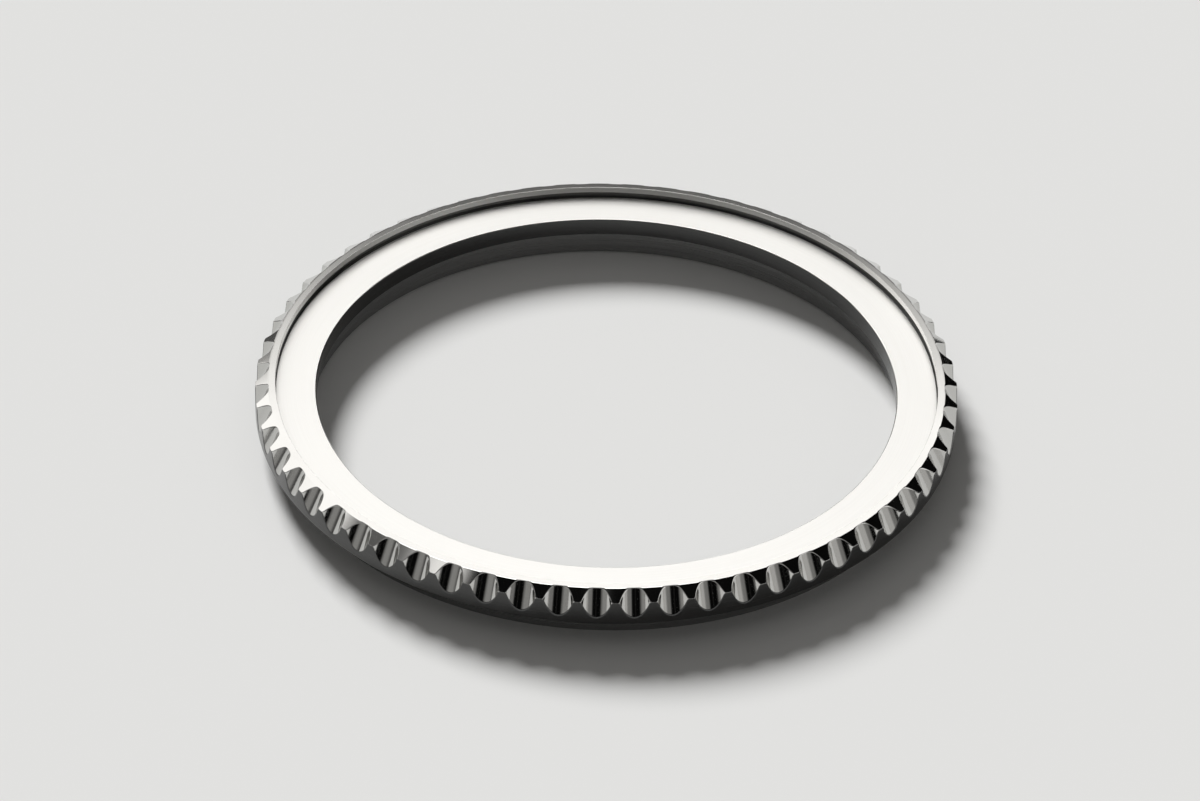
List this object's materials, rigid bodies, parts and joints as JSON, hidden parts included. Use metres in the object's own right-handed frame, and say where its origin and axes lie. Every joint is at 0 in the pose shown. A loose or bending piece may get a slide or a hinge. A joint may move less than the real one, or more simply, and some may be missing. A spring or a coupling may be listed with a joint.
{
  "type": "rotating watch bezel",
  "caption": "Fluted steel watch bezel that turns on a base ring in half-minute clicks, with a bare recessed seat for an insert.",
  "frame": {"origin": "middle of the base ring's underside, on the turning axis", "axes": "+Z along the turning axis, from the watch case up through the bezel; +X through one round detent"},
  "size_m": [0.0399, 0.0398, 0.0034],
  "materials": {
    "bezel_steel": "polished lip, chamfer and flutes, fine circular grain on the seat",
    "base_steel": "fine turned, darkened",
    "hard_steel": "ground",
    "spring_steel": "drawn wire",
    "plug_brass": "turned",
    "band_polymer": "matt",
    "gasket_rubber": "matt"
  },
  "bodies": {
    "carrier": {"base_ring": "base_steel", "wear_band": "band_polymer", "dust_gasket": "gasket_rubber", "base_gasket": "gasket_rubber", "retaining_wire": "spring_steel", "detent_spring_1": "spring_steel", "detent_spring_2": "spring_steel", "detent_spring_3": "spring_steel", "pawl_spring": "spring_steel", "detent_plug_1": "plug_brass", "detent_plug_2": "plug_brass", "detent_plug_3": "plug_brass", "pawl_plug": "plug_brass"},
    "bezel": {"bezel_ring": "bezel_steel", "click_ring": "hard_steel", "click_ring_pins": "hard_steel"},
    "detent_1": {"detent_plunger_1": "hard_steel"},
    "detent_2": {"detent_plunger_2": "hard_steel"},
    "detent_3": {"detent_plunger_3": "hard_steel"},
    "pawl": {"click_pawl": "hard_steel"}
  },
  "joints": [
    {"name": "bezel_turn", "type": "hinge", "parent": "carrier", "child": "bezel", "pos_m": [0, 0, 0.002], "axis": [0, 0, 1], "continuous": true},
    {"name": "detent_1_press", "type": "slide", "parent": "carrier", "child": "detent_1", "axis": [0, 0, 1], "range_m": [-0.0002, 0], "stiffness_N_per_m": 400, "deforming": ["detent_spring_1"]},
    {"name": "detent_2_press", "type": "slide", "parent": "carrier", "child": "detent_2", "axis": [0, 0, 1], "range_m": [-0.0002, 0], "stiffness_N_per_m": 400, "deforming": ["detent_spring_2"]},
    {"name": "detent_3_press", "type": "slide", "parent": "carrier", "child": "detent_3", "axis": [0, 0, 1], "range_m": [-0.0002, 0], "stiffness_N_per_m": 400, "deforming": ["detent_spring_3"]},
    {"name": "pawl_press", "type": "slide", "parent": "carrier", "child": "pawl", "axis": [0, 0, 1], "range_m": [-0.0002, 0], "stiffness_N_per_m": 400, "deforming": ["pawl_spring"]}
  ]
}
